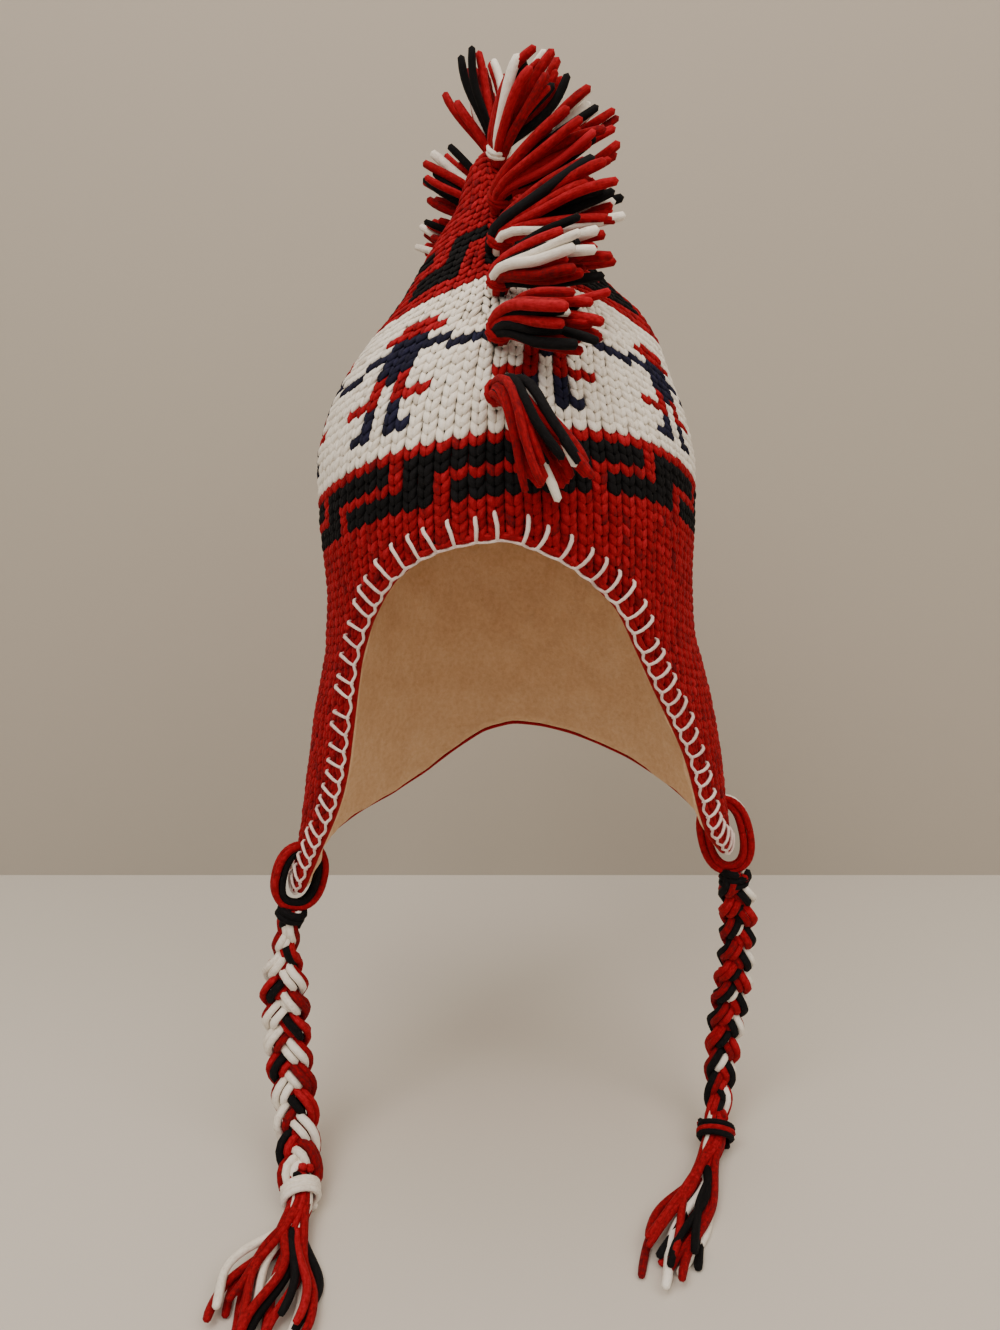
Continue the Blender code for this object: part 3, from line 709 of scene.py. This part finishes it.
def buildFleece():
    rng = np.random.default_rng(5)
    edge = insetEdge(knitEdge, wall["fleeceInset"])
    depths = tuple(zip(wall["fleeceDepths"], wall["fleeceTops"]))
    outer, inner = shellRings(edge, depths, wall["fleeceTurns"], wall["fleeceUpper"],
                              wall["fleeceLower"], wall["split"])
    bumps = rng.normal(0, 1, (len(inner), wall["fleeceTurns"]))
    bumps = blur(blur(bumps, 1.0, 0, False), 1.0, 1, True)
    bumps *= wall["nap"] / bumps.std()
    middle = np.array([crownGrid["apexX"], 0.0])
    for ring, bump in zip(inner, bumps):
        way = unit(ring[:, :2] - middle)
        ring[:, :2] -= way * bump[:, None]
    rim = (outer[-1] + inner[-1]) / 2 + np.array([0, 0, -0.0009])
    poles = ((crownGrid["apexX"], 0, 0.0665), (crownGrid["apexX"], 0, 0.0635))
    mesh = closedShell("fleece_lining", outer + [rim] + inner[::-1], poles)
    return place("fleece_lining", mesh, [fleece], ["lining"])


buildWall()
buildFleece()
print("wall and lining: built")


# Blanket stitch: pale yarn over the rim, and the red roll of the rim itself

rim = {
    "spacing": 0.0092, "depth": 0.0104, "radius": 0.00072, "seed": 3,
    "rollRadius": 0.0017, "rollAt": ((0.0010, -0.0012), (0.0004, -0.0036)),   # inward, outward
}


def buildRimRoll():
    mesh = YarnMesh()
    for inward, outward in rim["rollAt"]:
        line = edgePoint + edgeInward * inward + edgeNormal * outward
        line = blur(line, 3.0, 0, True)[::4]
        line = np.vstack([line, line[:2]])
        mesh.add(line[None], rim["rollRadius"], 0, 0.0, flat=1.1, sides=8)
    mesh.build("rim_roll", [redWool], "red_wool", ["crown"])


def edgeAt(where):
    # interpolated edge axes at a length along the edge
    at = (np.asarray(where) / edgeLength * len(edgePoint)) % len(edgePoint)
    i = np.floor(at).astype(int) % len(edgePoint)
    share, k = (at - np.floor(at))[..., None], (i + 1) % len(edgePoint)
    return [axis[i] * (1 - share) + axis[k] * share
            for axis in (edgePoint, edgeTangent, edgeNormal, edgeInward)]


def buildBlanketStitch():
    rng = np.random.default_rng(rim["seed"])
    mesh = YarnMesh()
    count = int(edgeLength / rim["spacing"])
    where = (np.arange(count) + 0.5) * edgeLength / count + rng.normal(0, 0.0006, count)
    depth = rim["depth"] * (1 + rng.normal(0, 0.06, count))
    lean = rng.normal(0, 0.0009, count)
    # each upright: from under the rim, over it, across the face and down into the knit
    shares = np.array([-0.10, 0.02, 0.25, 0.55, 0.85, 1.0, 1.06])
    rises = np.array([-0.0008, 0.0010, 0.0019, 0.0022, 0.0020, 0.0008, -0.0014])
    at = where[:, None] + lean[:, None] * shares[None] + 0.0006 * np.sin(shares * 3)[None]
    spots, _, normals, inward = edgeAt(at)
    centres = (spots + inward * (depth[:, None] * shares[None])[..., None]
               + normals * rises[None, :, None])
    swell = rim["radius"] * np.array([0.9, 0.95, 1.05, 1.15, 1.2, 1.1, 0.8])
    mesh.add(centres, swell[None], 0, rng.normal(0, 0.5, count), normals, 1.15)
    # the chain between uprights, lying along the rim
    steps = np.linspace(-0.08, 1.08, 9)
    nexts = np.append(where[1:], where[0] + edgeLength)
    at = where[:, None] + (nexts - where)[:, None] * steps[None]
    spots, _, normals, inward = edgeAt(at)
    sag = 0.0005 * np.sin(np.pi * np.clip(steps, 0, 1))
    centres = (spots - inward * (0.0008 + sag)[None, :, None]
               + normals * (-0.0006 + 0.0007 * np.cos(2 * np.pi * steps))[None, :, None])
    mesh.add(centres, rim["radius"], 0, rng.normal(0, 0.5, count))
    mesh.build("blanket_stitch", [pinkishWool], "white_wool")
    print(f"blanket stitch: {count} stitches round {edgeLength:.3f} m of rim")


buildRimRoll()
buildBlanketStitch()


# Crest: twelve knotted tufts of cut yarn along the centre seam

crest = {
    "seamX": -0.0040, "bend": 0.0180, "root": 0.0042, "body": 0.0128, "fan": 0.80,
    "swell": (0.6, 0.9), "droopShare": 0.6, "rootGap": 0.0005, "tipGap": 0.0014,
    "yarnRadius": 0.00235, "rings": 13, "seed": 21, "points": 28, "longest": 1.14,
    # knot's y and z; rise, lean and droop in degrees; spread and length; yarn colours
    "tufts": [
        ((-.1005, -.0373), (30, 30, -118, .0150, .0640), "rrwrbrrrwrrbrrrrbr"),
        ((-.0861, -.0125), (33, 58, -44, .0160, .0540), "rbrwrrbrrbwrrbrrrbrr"),
        ((-.0677, .0094), (38, 62, -26, .0165, .0570), "wrrbrwrrbrrwrbrrrbrw"),
        ((-.0472, .0295), (45, 64, -8, .0165, .0670), "rwrbrrbrrwrrbrrbrrrwrb"),
        ((-.0282, .0510), (55, 56, 0, .0175, .0680), "rrwrrbrwrrrbrrrwrbrrwr"),
        ((-.0118, .0745), (71, 34, 0, .0200, .0500), "rrbrwrrrbrwrrrrrbrrwrr"),
        ((.0096, .0769), (101, -12, 0, .0190, .0540), "rrrrwrrbrrrwrrrbrrwr"),
        ((.0260, .0535), (121, -50, 0, .0175, .0560), "rwrrbrrwrbrrrwrbrr"),
        ((.0449, .0319), (133, -58, 0, .0165, .0560), "rwbrrrwrrbrrrwrbrr"),
        ((.0653, .0116), (140, -40, 0, .0160, .0560), "rrbrrwrbrrrwrrbr"),
        ((.0842, -.0099), (148, 34, 0, .0160, .0560), "rwrrbrrrwrrbrrrr"),
        ((.0990, -.0343), (156, -30, 8, .0160, .0560), "rrbrrwrrrrbrrwrr"),
    ],
}


def tuftAxes(numbers, startRise, reach):
    rise, lean, droop, _, length = numbers
    turn = ease(reach / crest["bend"])
    fall = droop * ease(reach / length / crest["droopShare"])
    angle = np.radians(startRise + (rise - startRise) * turn + fall)
    side = np.radians(lean) * turn
    zero = 0 * angle
    outward = np.stack([zero, -np.cos(angle), np.sin(angle)], -1)
    across = np.array([1.0, 0.0, 0.0])
    cosSide, sinSide = np.cos(side)[:, None], np.sin(side)[:, None]
    thick = np.stack([zero, np.sin(angle), np.cos(angle)], -1)
    return outward, across * cosSide - outward * sinSide, thick, across * sinSide + outward * cosSide


def ringPath(middle, axis, radius, turns, rise, points):
    # a few turns of yarn round an axis
    helper = np.array([0, 0, 1.0]) if abs(axis[2]) < 0.9 else np.array([1.0, 0, 0])
    first = unit(np.cross(axis, helper))
    second = np.cross(axis, first)
    turn = np.linspace(0, 2 * np.pi * turns, points)
    climb = np.linspace(-0.5, 0.5, points) * rise
    return (middle + first * (np.cos(turn) * radius)[:, None]
            + second * (np.sin(turn) * radius)[:, None] + axis * climb[:, None])


def buildTuft(index, rng):
    (y, z), numbers, colours = crest["tufts"][index]
    _, _, _, spread, length = numbers
    front = y < 0
    normal = normalAt(np.array([0.0 if front else 180.0]), np.array([min(z, 0.079)]))[0]
    startRise = math.degrees(math.atan2(normal[2], -normal[1]))
    gap = crest["tipGap"] if index in (5, 6) else crest["rootGap"]
    reach = np.linspace(0, length * crest["longest"], crest["points"])
    stride = reach[1]
    outward, wide, thick, way = tuftAxes(numbers, startRise, reach)
    centre = np.array([crest["seamX"], y, z]) + normal * gap
    path = centre + np.vstack([np.zeros(3), np.cumsum((way[1:] + way[:-1]) / 2 * stride, axis=0)])
    out = np.concatenate([[0], np.cumsum((way[1:] * outward[1:]).sum(-1) * stride)])
    rises = [row[1][0] for row in crest["tufts"]]
    low, high = max(index - 1, 0), min(index + 1, len(rises) - 1)
    fan = math.radians((rises[high] - rises[low]) / (high - low) / 2) * crest["fan"]
    share = reach / length
    halfThick = crest["root"] + (crest["body"] - crest["root"] + fan * out) * ease(
        share / crest["swell"][0])
    halfWide = crest["root"] + (spread - crest["root"]) * ease(share / crest["swell"][1])
    mesh = YarnMesh()
    letters = "rbw"
    centres, radii, finishes = [], [], []
    for k, letter in enumerate(colours):
        disc = math.sqrt((k + 0.5) / len(colours))
        turn = k * 2.39996 + index
        u, v = disc * math.cos(turn), disc * math.sin(turn)
        size = rng.uniform(0.80, 1.10) * (1.0 - 0.10 * disc)
        at = np.linspace(0.0, size, crest["rings"]) * length
        line = np.stack([np.interp(at, reach, path[:, axis]) for axis in range(3)], 1)
        sideways = np.stack([np.interp(at, reach, wide[:, axis]) for axis in range(3)], 1)
        upward = np.stack([np.interp(at, reach, thick[:, axis]) for axis in range(3)], 1)
        wideAt, thickAt = np.interp(at, reach, halfWide), np.interp(at, reach, halfThick)
        curl = (at / length) ** 2 * 0.006
        bendA, bendB = rng.normal(0, 0.7, 2)
        wave = np.sin(at / length * math.pi * rng.uniform(1.2, 2.2) + rng.uniform(0, 6)) * 0.0012
        line = (line + sideways * (u * (wideAt - 0.0016) + bendA * curl + wave)[:, None]
                + upward * (v * (thickAt - 0.0016) + bendB * curl)[:, None])
        yarnRadius = crest["yarnRadius"] * rng.uniform(0.80, 1.12)
        swell = 0.86 + 0.14 * ease(at / 0.012)
        swell[-1] *= 0.86
        centres.append(line)
        radii.append(yarnRadius * swell)
        finishes.append(letters.index(letter))
    mesh.add(np.array(centres), np.array(radii), np.array(finishes), rng.normal(0, 0.6, len(colours)))
    knotAt = np.interp(0.0065, reach, path[:, 0]), np.interp(0.0065, reach, path[:, 1]), np.interp(
        0.0065, reach, path[:, 2])
    knot = ringPath(np.array(knotAt), way[2], 0.0050, 1.8, 0.0034, 20)
    mesh.add(knot[None], 0.0013, letters.index("w" if index == 5 else "r"), 0.0)
    name = f"crest_tuft_{index + 1:02d}"
    slot = ("red_wool", "black_wool", "red_wool", "white_wool")[index % 4]
    mesh.build(f"tuft_yarns_{index + 1:02d}", [redWool, blackWool, whiteWool], slot, [name])


crestRng = np.random.default_rng(crest["seed"])
for tuftIndex in range(len(crest["tufts"])):
    buildTuft(tuftIndex, crestRng)
print(f"crest: {len(crest['tufts'])} tufts")


# Ties: yarns doubled through the flap, a three-strand braid, its binding and its tassel

ties = {
    "loopHalfWidth": 0.0114, "loopRadius": 0.0020,
    # each loop yarn: outward of the ring's middle line, sideways of its plane
    "loopRows": ((0.0021, -0.0020), (-0.0019, -0.0019), (0.0019, 0.0021), (-0.0021, 0.0020)),
    "braidPoints": 34, "diameter": 0.025, "strandPeriod": 0.044, "yarnRadius": 0.00225,
    "bundleRadius": 0.0034, "depth": 0.0052, "step": 0.0020,
    "bindRadius": 0.0092, "bindYarn": 0.0018, "bindLength": 0.0130,
    "table": -0.4580, "lead": 0.0050,
    "left": {
        "hole": (-79.0, -0.2730, 0.0168),
        "route": [(-.1235, -.0240, -.3340), (-.1248, -.0258, -.3560), (-.1242, -.0290, -.3790),
                  (-.1222, -.0340, -.4010), (-.1185, -.0430, -.4210), (-.1145, -.0570, -.4370),
                  (-.1105, -.0740, -.4440)],
        "widths": [(0, .013), (.030, .017), (.040, .028), (.07, .029), (.10, .027), (.16, .025)],
        "strands": ("rbrrb", "wwrrr", "rwwrr"), "loop": "rbrb", "knot": "b", "bind": "w",
        "fan": ((-.1180, -.1620), .0240), "tassel": "brrwrbrbrwwrrrrrrw", "phase": 0.4, "seed": 31,
    },
    "right": {
        "hole": (85.0, -0.2500, 0.0205),
        "route": [(.1328, -.0080, -.3140), (.1350, -.0050, -.3380), (.1348, -.0030, -.3640),
                  (.1325, -.0030, -.3900), (.1300, -.0060, -.4130), (.1275, -.0130, -.4310),
                  (.1235, -.0270, -.4422)],
        "widths": [(0, .020), (.02, .023), (.05, .022), (.08, .024), (.11, .023), (.135, .019),
                   (.16, .014)],
        "strands": ("rbwrb", "rrbwr", "brrwr"), "loop": "rrwr", "knot": "b", "bind": "b",
        "fan": ((.0755, -.1290), .0145), "tassel": "brbwrbrwrrbrrrr", "phase": 2.2, "seed": 37,
    },
}


def holeFrame(tie):
    angle, z, halfDrop = tie["hole"]
    normal = normalAt(np.array([angle]), np.array([z]))[0]
    middle = pointAt(np.array([angle]), np.array([z]))[0] - normal * 0.0040
    down = unit(np.array([0, 0, -1.0]) + normal * normal[2])
    return middle, normal, down, halfDrop


def buildLoop(side, tie):
    middle, normal, down, halfDrop = holeFrame(tie)
    centre = middle + down * halfDrop
    turn = np.linspace(0, 2 * np.pi, 41)
    across, along = np.cos(turn), np.sin(turn)
    square = (np.abs(across) ** 2.4 + np.abs(along) ** 2.4) ** (-1 / 2.4)
    sideWay = np.cross(normal, down)
    mesh = YarnMesh()
    for (outward, sideways), letter in zip(ties["loopRows"], tie["loop"]):
        pinch = 0.55 + 0.45 * np.abs(across)   # together in the hole and at the bottom
        wide, tall = ties["loopHalfWidth"] + outward, halfDrop + outward * 0.6
        line = (centre + normal * (wide * across * square)[:, None]
                - down * (tall * along * square)[:, None] + sideWay * (sideways * pinch)[:, None])
        mesh.add(line[None], ties["loopRadius"], "rbw".index(letter), 0.0, sides=7)
    return mesh.build(f"loop_yarns_{side}", [redWool, blackWool, whiteWool], "red_wool",
                      [f"tie_loop_{side}"])


def buildBraid(side, tie, route):
    rng = np.random.default_rng(tie["seed"])
    length = runOf(route)[-1]
    count = int(length / ties["step"])
    line = evenPoints(route, count)
    tangents, fronts, sides = framesAlong(line, (0, -1, 0))
    at = np.linspace(0, length, count)
    width = np.interp(at, column(tie["widths"], 0), column(tie["widths"], 1))
    bundle = ties["bundleRadius"] * np.clip(width / 0.025, 0.6, 1.05)
    strandWidth = 2 * (bundle * 1.2 + ties["yarnRadius"])
    reach = np.maximum(width - strandWidth, 0.002) / 2
    depth = ties["depth"] * np.clip(width / 0.025, 0.55, 1.0)
    mesh = YarnMesh()
    for strand, letters in enumerate(tie["strands"]):
        phase = 2 * np.pi * (at / ties["strandPeriod"] + strand / 3) + tie["phase"]
        middle = (line + sides * (reach * np.sin(phase))[:, None]
                  + fronts * (depth * np.sin(2 * phase))[:, None])
        own = unit(np.gradient(middle, axis=0))
        front = unit(fronts - own * (fronts * own).sum(-1, keepdims=True))
        across = np.cross(own, front)
        for k, letter in enumerate(letters):
            turn = 2 * np.pi * k / len(letters) + 0.5 * np.sin(at / 0.03 + strand)
            wave = 1 + 0.08 * np.sin(at / 0.006 + rng.uniform(0, 6))
            yarn = (middle + across * (1.2 * bundle * np.cos(turn) * wave)[:, None]
                    + front * (0.85 * bundle * np.sin(turn) * wave)[:, None])
            mesh.add(yarn[None], ties["yarnRadius"] * rng.uniform(0.93, 1.08), "rbw".index(letter),
                     rng.normal(0, 0.6))
    axis = unit(tangents[2] + sides[2] * 0.25)
    knot = ringPath(line[1], axis, 0.0066, 2.3, 0.0080, 36)
    mesh.add(knot[None], 0.0021, "rbw".index(tie["knot"]), 0.0)
    return mesh.build(f"braid_yarns_{side}", [redWool, blackWool, whiteWool], "red_wool",
                      [f"braid_{side}"]), length


def buildBinding(side, tie, end, forward):
    mesh = YarnMesh()
    start = end + forward * ties["bindLength"] / 2
    letter = tie["bind"]
    turns = ringPath(start, forward, ties["bindRadius"], 3.4, ties["bindLength"] * 0.72, 64)
    mesh.add(turns[None], ties["bindYarn"], "rbw".index(letter), 0.0)
    if letter == "b":
        second = ringPath(start, forward, ties["bindRadius"] + 0.0004, 1.3, 0.006, 24)
        mesh.add(second[None], ties["bindYarn"], 0, 0.0)
    slot = "white_wool" if letter == "w" else "black_wool"
    return mesh.build(f"binding_{side}", [redWool, blackWool, whiteWool], slot,
                      [f"tassel_wrap_{side}"])


def buildTassel(side, tie, end, forward):
    rng = np.random.default_rng(tie["seed"] + 1)
    (tipX, tipY), halfWidth = tie["fan"]
    head = end + forward * (ties["bindLength"] + 0.0006)
    run = np.array([tipX - head[0], tipY - head[1], 0.0])
    level = unit(np.cross(unit(run), np.array([0, 0, 1.0])))
    colours = tie["tassel"]
    count, points = len(colours), 22
    centres, radii, finishes = [], [], []
    for k, letter in enumerate(colours):
        u = -1 + 2 * (k + 0.5) / count + rng.normal(0, 0.05)
        layer = (k * 7 % 3)
        size = rng.uniform(0.84, 1.06) * (1 - 0.10 * u * u)
        share = np.linspace(0, size, points)
        settled = ease(share * 2.2)
        rootAngle = 2 * math.pi * (k * 0.382 % 1)
        rootRadius = 0.0056 * math.sqrt((k * 0.618) % 1)
        line = head + run * share[:, None]
        floorZ = ties["table"] + ties["yarnRadius"] * (1.05 + 1.7 * layer)
        rootZ = head[2] + rootRadius * math.sin(rootAngle)
        line[:, 2] = rootZ + (floorZ - rootZ) * settled
        wide = u * halfWidth * ease(share * 1.5)
        side0 = rootRadius * math.cos(rootAngle) * (1 - settled)
        wave = 0.0035 * np.sin(share * rng.uniform(5, 8) + rng.uniform(0, 6)) * ease(share * 2)
        line += level * (wide + side0 + wave)[:, None]
        back = head - forward * ties["bindLength"] * np.array([[1.1], [0.55]])
        back = back + (line[0] - head)
        line = evenPoints(np.vstack([back, line]), points + 2)
        centres.append(line)
        swell = np.ones(points + 2)
        swell[-1] = 0.85
        radii.append(ties["yarnRadius"] * swell * rng.uniform(0.9, 1.1))
        finishes.append("rbw".index(letter))
    mesh = YarnMesh()
    mesh.add(np.array(centres), np.array(radii), np.array(finishes), rng.normal(0, 0.6, count))
    return mesh.build(f"tassel_yarns_{side}", [redWool, blackWool, whiteWool], "red_wool",
                      [f"tassel_{side}"])


def buildTie(side):
    tie = ties[side]
    middle, _, down, halfDrop = holeFrame(tie)
    start = middle + down * (2 * halfDrop + 0.0036)
    route = smoothRoute([start, start + down * ties["lead"]] + tie["route"], ties["braidPoints"])
    forward = unit(route[-1] - route[-2])
    loop = buildLoop(side, tie)
    braid, length = buildBraid(side, tie, route)
    binding = buildBinding(side, tie, route[-1], forward)
    tassel = buildTassel(side, tie, route[-1], forward)
    print(f"{side} tie: braid {length:.3f} m")


for tieSide in ("left", "right"):
    buildTie(tieSide)


# Stage, camera and light

stage = {
    "table": "#d8d3ca", "wall": "#b9b1a5", "wallY": 0.34, "bend": 0.02,
    "lights": [
        # place, aim, size, watts, colour
        ((-0.55, -0.95, 1.15), (0.0, 0.0, -0.10), 1.1, 18.5, "#fff5ea"),
        ((0.75, -0.80, 0.85), (0.0, 0.0, -0.12), 1.0, 9.0, "#fff0e0"),
        ((0.0, 0.10, 1.30), (0.0, 0.05, -0.20), 1.2, 11.5, "#fff4e8"),
    ],
    "sky": "#d2cdc4", "skyStrength": 0.46,
}


def plainSurface(name, hexColour, roughness):
    # matt painted board
    material, tree, shader = newMaterial(name)
    shader.inputs["Base Color"].default_value = linear(hexColour)
    shader.inputs["Roughness"].default_value = roughness
    return material


def addPlane(name, corners, material):
    mesh = bmesh.new()
    mesh.faces.new([mesh.verts.new(corner) for corner in corners])
    data = bpy.data.meshes.new(name)
    mesh.to_mesh(data)
    mesh.free()
    data.materials.append(material)
    plane = bpy.data.objects.new(name, data)
    bpy.context.scene.collection.objects.link(plane)


def buildStage():
    z, y = ties["table"], stage["wallY"]
    addPlane("table_top", [(-4, -4, z), (4, -4, z), (4, y, z), (-4, y, z)],
             plainSurface("pale_table", stage["table"], 0.55))
    addPlane("backdrop", [(-4, y, z), (4, y, z), (4, y, 3), (-4, y, 3)],
             plainSurface("painted_wall", stage["wall"], 0.9))
    world = bpy.data.worlds.new("soft_room")
    world.use_nodes = True
    world.node_tree.nodes["Background"].inputs["Color"].default_value = linear(stage["sky"])
    world.node_tree.nodes["Background"].inputs["Strength"].default_value = stage["skyStrength"]
    bpy.context.scene.world = world
    for number, (spot, aim, size, watts, tint) in enumerate(stage["lights"]):
        light = bpy.data.lights.new(f"soft_light_{number + 1}", "AREA")
        light.size, light.energy, light.color = size, watts, linear(tint)[:3]
        lamp = bpy.data.objects.new(light.name, light)
        lamp.location = spot
        lamp.rotation_euler = (Vector(aim) - Vector(spot)).to_track_quat("-Z", "Y").to_euler()
        bpy.context.scene.collection.objects.link(lamp)
    camera = bpy.data.cameras.new("camera")
    camera.sensor_width = 36.0
    camera.sensor_fit = "AUTO"
    camera.lens = 36.0 * 1000 / 1330
    viewer = bpy.data.objects.new("camera", camera)
    viewer.location = (-0.003, -0.536, -0.052)
    viewer.rotation_euler = (math.radians(77), 0, 0)
    bpy.context.scene.collection.objects.link(viewer)
    bpy.context.scene.camera = viewer


buildStage()
print("stage: floor, backdrop, lights and camera set")
